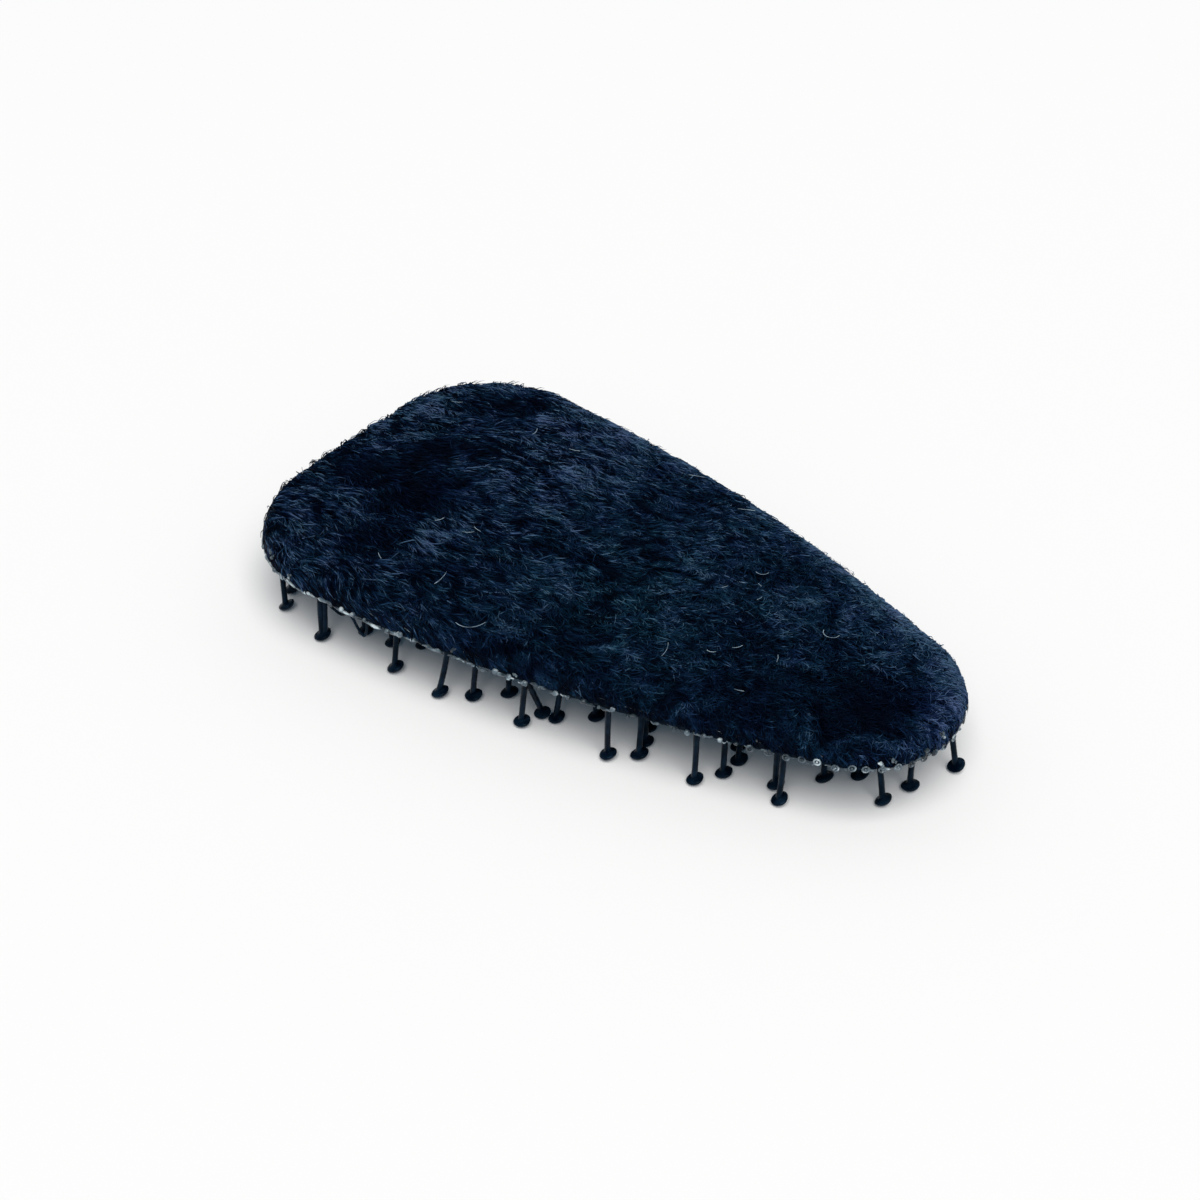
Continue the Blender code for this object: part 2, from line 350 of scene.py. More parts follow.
class Shape:
    """Vertices and faces gathered from several closed forms."""

    def __init__(self):
        self.verts = []
        self.faces = []
        self.count = 0

    def add(self, verts, faces):
        """A form's own vertices, and its faces as numbers of these."""
        self.faces += [tuple(i + self.count for i in face) for face in faces]
        self.verts.append(np.asarray(verts, float))
        self.count += len(verts)

    def tube(self, line, radii, sides):
        """A round tube along a line, closed at both ends."""
        line = np.asarray(line, float)
        radii = np.broadcast_to(radii, len(line))
        ways = unit(np.gradient(line, axis=0))
        first = UP if abs(ways[0, 2]) < 0.9 else (1, 0, 0)
        across = unit(np.cross(ways[0], first))
        turns = circle(sides)
        rings = []
        for point, way, radius in zip(line, ways, radii):
            across = unit(across - (across @ way) * way)
            up = np.cross(way, across)
            ray = np.cos(turns)[:, None] * across + np.sin(turns)[:, None] * up
            rings.append(point + radius * ray)
        self.loft(rings)

    def loft(self, rings):
        """Rings with as many points each, joined in turn, with a flat face at each end."""
        sides = len(rings[0])
        faces = []
        for k in range(len(rings) - 1):
            for i in range(sides):
                j = (i + 1) % sides
                low, high = k * sides, (k + 1) * sides
                faces.append((low + i, low + j, high + j, high + i))
        last = (len(rings) - 1) * sides
        faces.append(tuple(reversed(range(sides))))
        faces.append(tuple(range(last, last + sides)))
        self.add(np.vstack(rings), faces)

    def mesh(self, name):
        """The forms as one mesh, smooth but for its sharp edges."""
        mesh = bpy.data.meshes.new(name)
        mesh.from_pydata(np.vstack(self.verts).tolist(), [], self.faces)
        mesh.shade_smooth()
        mesh.set_sharp_from_angle(angle=math.radians(50.0))
        return mesh


def show(name, data):
    """A new object in the scene."""
    obj = bpy.data.objects.new(name, data)
    bpy.context.scene.collection.objects.link(obj)
    return obj


def piece(name, mesh, material, slot, *stands_for):
    """A shown piece that rides on the clip's one body."""
    obj = show(name, mesh)
    mesh.materials.append(material)
    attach(obj, "root")
    if stands_for:
        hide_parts(*stands_for)
    return obj


def nodes_of(name):
    """A new material, its node tree and its shader."""
    material = bpy.data.materials.new(name)
    material.use_nodes = True
    tree = material.node_tree
    return material, tree, tree.nodes["Principled BSDF"]


def add_node(tree, kind, **values):
    """A node with these values on its sockets, or else on its own properties."""
    node = tree.nodes.new(kind)
    for key, value in values.items():
        if key in node.inputs:
            node.inputs[key].default_value = value
        else:
            setattr(node, key, value)
    return node


def calculate(tree, operation, first, second, clamp=False):
    """A math node on two values, each a number or another node's output."""
    node = add_node(tree, "ShaderNodeMath", operation=operation, use_clamp=clamp)
    for socket, value in zip(node.inputs, (first, second)):
        if isinstance(value, float):
            socket.default_value = value
        else:
            tree.links.new(value, socket)
    return node.outputs["Value"]


def colour_mix(tree, factor, first, second):
    """A mix of two colours, each written out or another node's output."""
    node = add_node(tree, "ShaderNodeMix", data_type="RGBA")
    tree.links.new(factor, node.inputs["Factor"])
    sockets = [socket for socket in node.inputs if socket.type == "RGBA"]
    for socket, value in zip(sockets, (first, second)):
        if isinstance(value, tuple):
            socket.default_value = (*value, 1.0)
        else:
            tree.links.new(value, socket)
    return next(socket for socket in node.outputs if socket.type == "RGBA")


def noise(tree, scale, detail=2.0, roughness=0.5):
    """Noise in the object's own coordinates, with this many waves a metre."""
    coordinates = add_node(tree, "ShaderNodeTexCoord")
    texture = add_node(tree, "ShaderNodeTexNoise", Scale=scale, Detail=detail, Roughness=roughness)
    tree.links.new(coordinates.outputs["Object"], texture.inputs["Vector"])
    return texture.outputs["Fac"]


def ramp(tree, value, stops):
    """A colour for a value between 0 and 1, from (place, colour) stops."""
    node = tree.nodes.new("ShaderNodeValToRGB")
    elements = node.color_ramp.elements
    while len(elements) < len(stops):
        elements.new(0.5)
    for element, (place, colour) in zip(elements, stops):
        element.position = place
        element.color = (*colour, 1.0)
    tree.links.new(value, node.inputs["Fac"])
    return node.outputs["Color"]


def bump(tree, shader, height, distance, strength=1.0):
    """Relief on a shader, this deep for a height of 1."""
    node = add_node(tree, "ShaderNodeBump", Strength=strength, Distance=distance)
    tree.links.new(height, node.inputs["Height"])
    tree.links.new(node.outputs["Normal"], shader.inputs["Normal"])


def settings(shader, **values):
    """Values on the shader's own sockets, whose names have spaces for underscores."""
    for key, value in values.items():
        shader.inputs[key.replace("_", " ")].default_value = value


def pile_material():
    """Soft navy fibre, a little lighter or darker from strand to strand, with painted shade and
    light along the strands.
    """
    material, tree, shader = nodes_of("navy_pile")
    tint_and_shade = add_node(tree, "ShaderNodeAttribute", attribute_name="tint_and_shade")
    violet = add_node(tree, "ShaderNodeAttribute", attribute_name="violet")
    teals = (
        (0.00, (0.0001, 0.0017, 0.0051)),
        (0.30, (0.0008, 0.0064, 0.0160)),
        (0.50, (0.0020, 0.0156, 0.0359)),
        (0.70, (0.0064, 0.0350, 0.0712)),
        (0.85, (0.0215, 0.0700, 0.1168)),
        (1.00, (0.0640, 0.1400, 0.2137)),
    )
    violets = (
        (0.00, (0.0002, 0.0014, 0.0076)),
        (0.30, (0.0009, 0.0048, 0.0209)),
        (0.50, (0.0032, 0.0118, 0.0461)),
        (0.70, (0.0120, 0.0285, 0.0869)),
        (0.85, (0.0310, 0.0570, 0.1396)),
        (1.00, (0.0740, 0.1160, 0.2356)),
    )
    greys = ((0.38, (0.22, 0.22, 0.22)), (0.62, (0.78, 0.78, 0.78)))
    patches = ramp(tree, noise(tree, 520.0, 4.0, 0.7), greys)
    share = calculate(tree, "ADD", patches, violet.outputs["Fac"], clamp=True)
    # The attribute holds each strand's own tone together with painted shade and light
    light = tint_and_shade.outputs["Fac"]
    mixed = colour_mix(tree, share, ramp(tree, light, teals), ramp(tree, light, violets))
    tree.links.new(mixed, shader.inputs["Base Color"])
    settings(shader, Roughness=0.5, Specular_IOR_Level=0.03)
    return material


def mottled(name, scale, detail, stops, relief=None, **values):
    """A material with colours over noise, and relief from (scale, detail, depth, strength)."""
    material, tree, shader = nodes_of(name)
    tree.links.new(ramp(tree, noise(tree, scale, detail), stops), shader.inputs["Base Color"])
    settings(shader, **values)
    if relief:
        bump(tree, shader, noise(tree, *relief[:2]), *relief[2:])
    return material


def backing_material():
    """The knitted backing under the pile, nearly black."""
    stops = ((0.3, (0.0002, 0.0012, 0.0040)), (0.7, (0.0006, 0.0030, 0.0090)))
    looks = {"Roughness": 0.9, "Specular_IOR_Level": 0.02}
    return mottled("dark_backing", 2200.0, 2.0, stops, (4500.0, 2.0, 0.05 * MM, 1.0), **looks)


def tape_material():
    """Tight black weave, with a fine twist in its yarns."""
    stops = ((0.3, (0.003, 0.006, 0.010)), (0.7, (0.011, 0.017, 0.026)))
    looks = {"Roughness": 0.85, "Specular_IOR_Level": 0.04}
    return mottled("black_weave", 3200.0, 3.0, stops, (7000.0, 2.0, 0.03 * MM, 0.8), **looks)


def hook_material():
    """Glossy black monofilament with faint drawing marks."""
    stops = ((0.38, (0.0008, 0.0036, 0.0095)), (0.66, (0.0048, 0.0140, 0.0290)))
    looks = {"Roughness": 0.18, "Specular_IOR_Level": 0.06, "Specular_Tint": (0.42, 0.80, 1.0, 1.0)}
    return mottled("black_filament", 1400.0, 2.0, stops, (3800.0, 1.0, 0.012 * MM, 0.5), **looks)


def lint_material():
    """Pale stray fibres."""
    stops = ((0.35, (0.10, 0.16, 0.22)), (0.65, (0.50, 0.66, 0.78)))
    return mottled("pale_lint", 1500.0, 2.0, stops, Roughness=0.6)


# The glue is painted darker towards the narrow end, as shade: from x to x, by nothing to this much
FILM_SHADE_FADE = (-8 * MM, 6 * MM, 0.0, -0.075)


def film_material():
    """Milky hot-melt glue, clear in some places and whitish in others, with painted shade towards
    the narrow end.
    """
    material, tree, shader = nodes_of("milky_film")
    stops = ((0.36, (0.014, 0.026, 0.036)), (0.49, (0.11, 0.15, 0.18)), (0.62, (0.62, 0.71, 0.74)))
    place = add_node(tree, "ShaderNodeTexCoord")
    parts = add_node(tree, "ShaderNodeSeparateXYZ")
    tree.links.new(place.outputs["Object"], parts.inputs["Vector"])
    fade = add_node(tree, "ShaderNodeMapRange")
    tree.links.new(parts.outputs["X"], fade.inputs["Value"])
    for socket, value in zip(list(fade.inputs)[1:5], FILM_SHADE_FADE):
        socket.default_value = value
    # Painted shade on the glue towards the narrow end
    clouds = calculate(tree, "ADD", noise(tree, 900.0, 3.0), fade.outputs["Result"])
    tree.links.new(ramp(tree, clouds, stops), shader.inputs["Base Color"])
    settings(shader, Roughness=0.28, Specular_IOR_Level=0.5)
    bump(tree, shader, noise(tree, 2600.0), 0.05 * MM, 0.6)
    return material


def backing_mesh():
    """The plush's backing: the cover's own shape, drawn in and down to leave room for the pile."""
    shape = Shape()
    rings = [(BACKING_INSET, COVER_BOTTOM), (BACKING_INSET, RIM_TOP)]
    rings += [(depth + BACKING_INSET, height - BACKING_DROP) for depth, height in PROFILE[1:]]
    around = len(OUTLINE)
    shape.loft(
        [np.c_[OUTLINE - depth * OUT_NORMALS, np.full(around, height)] for depth, height in rings]
    )
    return shape.mesh("plush_backing")


def strand_roots(rng):
    """Where the strands start: evenly over the top, and round the side, on the backing."""
    low, high = OUTLINE.min(0), OUTLINE.max(0)
    roots = np.empty((0, 3))
    while len(roots) < STRAND_COUNT:
        xy = rng.uniform(low, high, (STRAND_COUNT, 2))
        depth, _ = EDGE(xy)
        depth = depth - BACKING_INSET
        spread = 1 / np.cos(surface_slope(depth))
        kept = (depth > 0) & (rng.uniform(0, RIM_SPREAD, len(xy)) < spread)
        height = surface_height(depth) - BACKING_DROP
        roots = np.vstack([roots, np.c_[xy, height][kept]])
    count = STRAND_COUNT // SIDE_SHARE
    along = rng.uniform(0, len(OUTLINE), count)
    first = along.astype(int)
    share = (along - first)[:, None]
    following = (first + 1) % len(OUTLINE)
    line = OUTLINE - BACKING_INSET * OUT_NORMALS
    xy = line[first] * (1 - share) + line[following] * share
    side = np.c_[xy, rng.uniform(COVER_BOTTOM - SIDE_ROOT_DROP, RIM_TOP, count)]
    return np.vstack([roots[: STRAND_COUNT - count], side])


def spots(xy, places):
    """The sum of soft round spots, each (x, y, radius in mm, size)."""
    total = np.zeros(len(xy))
    for x, y, radius, size in places:
        reach = np.linalg.norm(xy / MM - (x, y), axis=1) / radius
        total += size * np.exp(-(reach**2))
    return total


class Locks:
    """Small locks that neighbouring strands lean into, on a jittered grid along the flow."""

    COUNTS = (96, 256)

    def __init__(self, rng, length, width):
        self.way = np.array((math.cos(FLOW_ANGLE), math.sin(FLOW_ANGLE)))
        self.side = np.array((-self.way[1], self.way[0]))
        self.size = np.array((length, width))
        self.jitter = rng.uniform(0.02, 0.98, (*self.COUNTS, 2))
        self.traits = rng.normal(0, 1, (*self.COUNTS, 4))

    def __call__(self, xy):
        """(offset across, traits, how clear it is of the next one) of each point's nearest lock."""
        swirl = SWIRL * np.stack([waves(xy, SWIRL_LENGTH, seed) for seed in SWIRL_SEEDS], 1)
        flow = np.c_[(xy + swirl) @ self.way, (xy + swirl) @ self.side] / self.size
        cell = np.floor(flow).astype(int)
        best = np.full(len(xy), np.inf)
        second = np.full(len(xy), np.inf)
        across = np.zeros(len(xy))
        traits = np.zeros((len(xy), self.traits.shape[2]))
        for i in (-1, 0, 1):
            for j in (-1, 0, 1):
                near = cell + (i, j)
                index = (near[:, 0] % self.COUNTS[0], near[:, 1] % self.COUNTS[1])
                gap = near + self.jitter[index] - flow
                reach = (gap**2).sum(1)
                nearer = reach < best
                second = np.where(nearer, best, np.minimum(second, reach))
                best = np.where(nearer, reach, best)
                across[nearer] = gap[nearer, 1] * self.size[1]
                traits[nearer] = self.traits[index][nearer]
        return across, traits, np.sqrt(second) - np.sqrt(best)


def flow_angle(xy):
    """Which way the pile lies, from +X towards +Y."""
    angle = FLOW_ANGLE
    for length, seed, size in FLOW_WAVES:
        angle = angle + size * waves(xy, length, seed)
    return angle + spots(xy, FLOW_SPOTS)


def settle(points, stand):
    """Strand points drawn back to the patch's side, and pressed down onto its surface."""
    depth, outward = EDGE(points[:, :2])
    over = np.maximum(0, -depth - stand)
    points[:, :2] -= 0.9 * over[:, None] * outward
    height = points[:, 2]
    high = surface_height(depth) + 0.05 * MM
    height = np.where(height > high, high + 0.35 * (height - high), height)
    points[:, 2] = np.where(height < PILE_FOOT, PILE_FOOT - 0.15 * (PILE_FOOT - height), height)
    return points


def strand_way(place, way, lift, on_side, stand):
    """Which way a strand runs in space: its way over the surface, raised by the lift."""
    depth, outward = EDGE(place[:, :2])
    slope = surface_slope(depth - BACKING_INSET)
    slope = np.where(place[:, 2] < RIM_TOP, RIM_SLOPE, slope)
    rim = np.clip(1 - depth / RIM_TURN_DEPTH, 0, 1)
    past = np.clip(-depth / stand, 0, 1)
    tangent = np.c_[-outward[:, 1], outward[:, 0]]
    out_part = (way * outward).sum(1)
    out_part = np.where(on_side, np.maximum(out_part, 0.3), out_part + 0.2 * rim) + 0.8 * past
    side_part = (way * tangent).sum(1) * (1 - 0.3 * past)
    size = np.hypot(out_part, side_part)
    out_part, side_part = out_part / size, side_part / size
    downhill = np.c_[outward * np.cos(slope)[:, None], -np.sin(slope)]
    normal = np.c_[outward * np.sin(slope)[:, None], np.cos(slope)]
    level = np.c_[tangent, np.zeros(len(way))]
    lying = out_part[:, None] * downhill + side_part[:, None] * level
    turn = (lift * (1 - 0.7 * rim) * (1 - past))[:, None]
    return np.cos(turn) * lying + np.sin(turn) * normal


def strand_tints_and_shade(points, locks, traits, fine_traits, ridge, on_side, rng):
    """How light each strand is at its four points, from 0 to 1, with painted shade and light in it.
    """
    xy = points[0][:, :2]
    count = len(xy)
    of_lock, of_fine, of_own, ridge_shade = TINT_SPREADS
    tint_and_shade = of_lock * traits[:, 3] + of_fine * fine_traits[:, 3] + rng.normal(0, of_own, count)
    # Painted shade on the sides of each lock
    tint_and_shade = tint_and_shade + ridge_shade * (ridge - 0.6)
    tint_and_shade += (rng.uniform(0, 1, count) < BRIGHT_SHARE) * BRIGHT_TINT
    # Painted light and shade by place on the pile
    light_and_shade = spots(xy, LIGHT_AND_SHADE_SPOTS)
    contrast = np.interp(xy[:, 0], *CONTRAST) * np.clip(1 + 1.3 * light_and_shade, 0.4, 1)
    depth, outward = EDGE(xy)
    # Painted sheen along the rim towards +X and +Y, and painted shade towards -Y
    end_part = outward[:, 0] * np.clip(depth / RIM_FADE, 0, 1)
    rim_sheen_and_shade = np.clip(np.c_[end_part, outward[:, 1], -outward[:, 1]], 0, 1) @ RIM_SHEEN_AND_SHADE
    tint_and_shade = TINT_MIDDLE + contrast * tint_and_shade + 0.05 * waves(xy, 9 * MM, 13) + light_and_shade
    reach = np.interp(outward[:, 0], (0.3, 0.9), RIM_DEPTH)
    # The rim's painted sheen and shade, and painted shade on the strands on the patch's side
    tint_and_shade += np.exp(-((depth / reach) ** 4)) * rim_sheen_and_shade + SIDE_SHADE * on_side
    # Painted shade in the slits between locks
    slits = [1 - np.clip(locks(place[:, :2])[2] / SLIT_WIDTH, 0, 1) for place in points]
    shade = SLIT_SHADE * contrast[:, None] * (0.25 - np.stack(slits, 1))
    grain = contrast[:, None] * rng.normal(0, STRAND_GRAIN, (count, STRAND_STEPS + 1))
    # Painted shade at the root and painted light at the tip, with the slits' painted shade and
    # grain
    return np.clip(tint_and_shade[:, None] + STRAND_SHADE + shade + grain, 0, 1)


def strand_lines(roots, rng):
    """(paths, tints_and_shade, violets): each strand's points from root to tip, how light with its
    painted light and shade, and its hue.
    """
    count = len(roots)
    xy = roots[:, :2]
    locks = Locks(rng, LOCK_LENGTH, LOCK_WIDTH)
    across, traits, _ = locks(xy)
    fine_locks = Locks(rng, FINE_LOCKS[0] * LOCK_LENGTH, FINE_LOCKS[1] * LOCK_WIDTH)
    fine_across, fine_traits, _ = fine_locks(xy)
    curl, mess, shorter = (np.interp(xy[:, 0], COMBED, values) for values in (CURL, MESS, SHORTER))
    stray = rng.uniform(0, 1, count) < STRAY_SHARE
    turned = LOCK_TURNS[0] * traits[:, 0] + LOCK_TURNS[1] * fine_traits[:, 0]
    angle = flow_angle(xy) + mess * (turned + rng.normal(0, 1, count))
    angle = angle + stray * rng.normal(0, STRAY_TURN, count)
    ridge = 1 - np.clip(np.abs(across) / (0.5 * LOCK_WIDTH), 0, 1)
    spread = np.clip(rng.normal(1, 0.18, count) + 0.08 * traits[:, 1], 0.4, 1.5)
    length = STRAND_LENGTH * shorter * spread
    on_side = roots[:, 2] < RIM_TOP
    length = np.where(on_side, SIDE_LENGTH * length, length)
    rise = 0.24 + 0.14 * ridge + 0.06 * traits[:, 2] + rng.normal(0, 0.08, count)
    rise = rise + stray * rng.uniform(0, 0.35, count)
    lifts = (rise, 0.3 * rise, -0.10 + rng.normal(0, 0.07, count))
    stand = (0.04 + 0.09 * np.clip(fine_traits[:, 1] + traits[:, 1] - 0.4, 0, 1.8)) * MM
    curl = curl * rng.normal(0, 1, count)
    drawn = ((0.5 * across + 0.9 * fine_across) / length)[:, None]
    points = [roots]
    step = (length / STRAND_STEPS)[:, None]
    for k, lift in enumerate(lifts):
        way = np.c_[np.cos(angle + k * curl), np.sin(angle + k * curl)]
        way = unit(way + drawn * locks.side)
        ahead = strand_way(points[-1], way, lift, on_side, stand)
        points.append(settle(points[-1] + step * ahead, stand))
    tints_and_shade = strand_tints_and_shade(points, locks, traits, fine_traits, ridge, on_side, rng)
    return np.stack(points, 1), tints_and_shade, spots(xy, VIOLET_SPOTS)


# A strand's 16 faces: its flat root, two rings of sides, and its point
STRAND_SIDES = ((0, 1), (1, 2), (2, 0), (3, 4), (4, 5), (5, 3))
STRAND_FACES = np.array(
    [(2, 1, 0)]
    + [(a, b, b + 3) for a, b in STRAND_SIDES]
    + [(a, b + 3, a + 3) for a, b in STRAND_SIDES]
    + [(6, 7, 9), (7, 8, 9), (8, 6, 9)]
)


def strand_mesh(name, paths, radii, tints_and_shade, violets):
    """Three-sided strands that taper to a point, each closed."""
    sides = np.repeat(tints_and_shade, (3, 3, 3, 1), axis=1)
    count = len(paths)
    ways = unit(np.gradient(paths, axis=1))
    across = unit(np.cross(ways, UP))
    over = np.cross(across, ways)
    turns = circle(3) + math.pi / 2
    verts = np.empty((count, 10, 3))
    for k, taper in enumerate(STRAND_TAPER):
        for i, turn in enumerate(turns):
            ray = math.cos(turn) * across[:, k] + math.sin(turn) * over[:, k]
            verts[:, 3 * k + i] = paths[:, k] + (taper * radii)[:, None] * ray
    verts[:, 9] = paths[:, 3]
    faces = (STRAND_FACES + 10 * np.arange(count)[:, None, None]).reshape(-1, 3)
    mesh = bpy.data.meshes.new(name)
    mesh.vertices.add(10 * count)
    mesh.vertices.foreach_set("co", verts.astype(np.float32).ravel())
    mesh.loops.add(3 * len(faces))
    mesh.loops.foreach_set("vertex_index", faces.astype(np.int32).ravel())
    mesh.polygons.add(len(faces))
    mesh.polygons.foreach_set("loop_start", 3 * np.arange(len(faces), dtype=np.int32))
    mesh.update(calc_edges=True)
    mesh.shade_smooth()
    for label, values in (("tint_and_shade", sides), ("violet", np.repeat(violets, 10))):
        attribute = mesh.attributes.new(label, "FLOAT", "POINT")
        attribute.data.foreach_set("value", values.astype(np.float32).ravel())
    return mesh


def make_plush():
    """The backing, and the pile in pieces from one end of the patch to the other."""
    rng = np.random.default_rng(7)
    material = pile_material()
    backing = piece("plush_backing", backing_mesh(), backing_material(), "plush", "plush_cover")
    roots = strand_roots(rng)
    paths, tints_and_shade, violets = strand_lines(roots, rng)
    radii = STRAND_RADIUS * np.clip(rng.normal(1, 0.25, len(roots)), 0.45, 1.8)
    order = np.argsort(roots[:, 0], kind="stable")
    for number, chosen in enumerate(np.array_split(order, STRAND_BATCHES), start=1):
        name = f"plush_pile_{number}"
        mesh = strand_mesh(name, paths[chosen], radii[chosen], tints_and_shade[chosen], violets[chosen])
        piece(name, mesh, material, "plush")


def filament_layout(name):
    """(start, way, length, where its hooks stand along it) of a filament, from its CAD node."""
    points = node_points(name)
    run = points[points[:, 2] > TAPE_BOTTOM]
    limits = (run[:, 0].min(), run[:, 0].max())
    start, end = (run[np.abs(run[:, 0] - x) < 0.2 * MM].mean(0) for x in limits)
    length = np.linalg.norm(end - start)
    way = (end - start) / length
    feet = points[points[:, 2] < 0.01 * MM]
    places = np.sort((feet - start) @ way)
    groups = np.split(places, np.flatnonzero(np.diff(places) > 0.3 * MM) + 1)
    return start, way, length, [(group.min() + group.max()) / 2 for group in groups]


# The hooks seen at the front, in order along each filament: how far the foot stands across from it
# and the stem's root along it from the foot, in mm, and the head's tilt in degrees
FRONT_HOOKS = {
    1: ((0.48, 0.17, 18), (0.05, 0.0, 15), (0.0, 0.0, 20)),
    2: ((0.35, 0.6, 13), (-0.25, 0.0, 20), (-0.11, 0.0, 18), (-0.08, 0.0, 24)),
    3: (
        *((-0.11, 0.85, 22), (0.39, 0.62, 12), (0.09, 0.7, 18), (-0.26, 0.0, 14)),
        *((0.04, 0.0, 20), (0.24, 0.0, 25), (-0.66, -1.1, 31)),
    ),
    4: (
        *((-0.03, 0.45, 26), (0.09, 0.15, 16), (-0.28, 0.0, 20), (-0.16, 0.0, 15)),
        *((0.04, 0.0, 22), (-0.05, 0.0, 18), (-0.03, 0.0, 17)),
    ),
    5: ((0.19, 0.25, 21),),
    6: (
        *((0.36, 0.0, 15), (-0.26, 0.0, 20), (0.28, 0.0, 18), (0.0, 0.0, 20), (0.1, 0.1, 16)),
        *((-0.1, 0.0, 22), (0.1, -0.1, 18), (0.0, 0.0, 24), (0.16, -0.9, 24)),
    ),
    7: ((-0.39, -0.2, 29),),
    8: ((0.25, 0.0, 22),),
}

# How far two of them stand along their filament from their places in the CAD model, in mm:
# (filament, order)
SLID_HOOKS = {(1, 0): -0.17, (6, 8): 0.33}

# A second leg beside a hook's stem, and one more hook, bent out of line: on which filament, after
# which hook, (root along, foot along, foot across) in mm from its place, and whether it has a head
EXTRA_HOOKS = ((5, 0, (0.58, 0.26, 0.0), False), (2, 0, (0.15, 1.07, 1.65), True))

# A head's side from its top down to its foot: (radius, height) in mm
HEAD_PROFILE = (
    (0.235, 0.560),
    (0.300, 0.500),
    (0.480, 0.470),
    (0.610, 0.440),
    (0.655, 0.380),
    (0.640, 0.300),
    (0.560, 0.180),
    (0.420, 0.080),
    (0.240, 0.020),
    (0.060, 0.000),
)


def hook_head(shape, foot, way, tilts, rng):
    """A mushroom head that stands on z = 0, tilted along and across. Gives where its stem ends."""
    across = np.cross(UP, way)
    normal = unit(UP * math.cos(tilts[0]) - way * math.sin(tilts[0]) + across * math.sin(tilts[1]))
    first = unit(np.cross(across, normal))
    second = np.cross(normal, first)
    turns = circle(HEAD_SIDES)
    size = rng.uniform(0.94, 1.05) * MM
    wobble = 1 + 0.03 * np.sin(2 * turns + rng.uniform(0, 6))
    wobble = wobble + 0.02 * np.sin(3 * turns + rng.uniform(0, 6))
    spokes = (np.cos(turns) * wobble)[:, None] * first + (np.sin(turns) * wobble)[:, None] * second
    rings = [size * (radius * spokes + height * normal) for radius, height in HEAD_PROFILE]
    lowest = min(ring[:, 2].min() for ring in rings)
    centre = foot - HEAD_MIDDLE * np.append(normal[:2], 0) - UP * lowest
    shape.loft([ring + centre for ring in rings][::-1])
    return centre + normal * STEM_END


def hook_stem(shape, root, end, rng):
    """A stem from the run down to a head, a little bowed, and wider at both ends."""
    sway = np.append(rng.normal(0, 0.04, 2), 0) * MM
    share = np.linspace(0, 1, 8)[:, None]
    line = root + share * (end - root) + sway * np.sin(math.pi * share)
    shape.tube(line, np.interp(share[:, 0], *STEM_RADII) * MM, STEM_SIDES)


def filament_mesh(name, number, rng):
    """A filament's run along the tape, with its hooks."""
    start, way, length, places = filament_layout(name)
    across = np.array((-way[1], way[0], 0.0))
    root_height = (TAPE_BOTTOM + STEM_ROOT_DEPTH) * UP
    shape = Shape()
    along = np.linspace(0, length, max(2, round(length / RUN_STEP)) + 1)
    line = start + along[:, None] * way
    line[:, 2] += RUN_WAVE * np.sin(2 * math.pi * along / (4 * WEFT_PITCH))
    shape.tube(line, RUN_RADIUS, STEM_SIDES)
    known = FRONT_HOOKS.get(number, ())
    for order, place in enumerate(places):
        foot = (start + place * way) * (1, 1, 0)
        if order < len(known):
            lean, shift, tilt = known[order]
            foot = foot + SLID_HOOKS.get((number, order), 0) * MM * way
        else:
            lean, shift, tilt = rng.normal(0, 0.15), rng.normal(0, 0.25), rng.normal(20, 5)
        tilts = (math.radians(tilt), math.radians(rng.normal(0, 5)))
        end = hook_head(shape, foot + lean * MM * across, way, tilts, rng)
        hook_stem(shape, foot + shift * MM * way + root_height, end, rng)
        for owner, after, (root, out, aside), headed in EXTRA_HOOKS:
            if (owner, after) == (number, order):
                beside = (out * way + aside * across) * MM
                end = hook_head(shape, foot + beside, way, tilts, rng) if headed else end + beside
                hook_stem(shape, foot + root * MM * way + root_height, end, rng)
    return shape.mesh("dressed_" + name)


def make_filaments():
    """The filaments, each in the place of its CAD node."""
    rng = np.random.default_rng(21)
    material = hook_material()
    names = sorted(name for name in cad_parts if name.startswith("hook_filament_"))
    for number, name in enumerate(names, start=1):
        piece("dressed_" + name, filament_mesh(name, number, rng), material, "hook", name)


def warp_way():
    """Which way the filaments run, seen from above."""
    _, way, _, _ = filament_layout("hook_filament_10")
    return unit(way[:2])


def follow(edges):
    """The loop's vertices in order, from its directed edges."""
    following = {start: end for start, end in edges}
    first = next(iter(following))
    loop = [first]
    while following[loop[-1]] != first:
        loop.append(following[loop[-1]])
    return loop


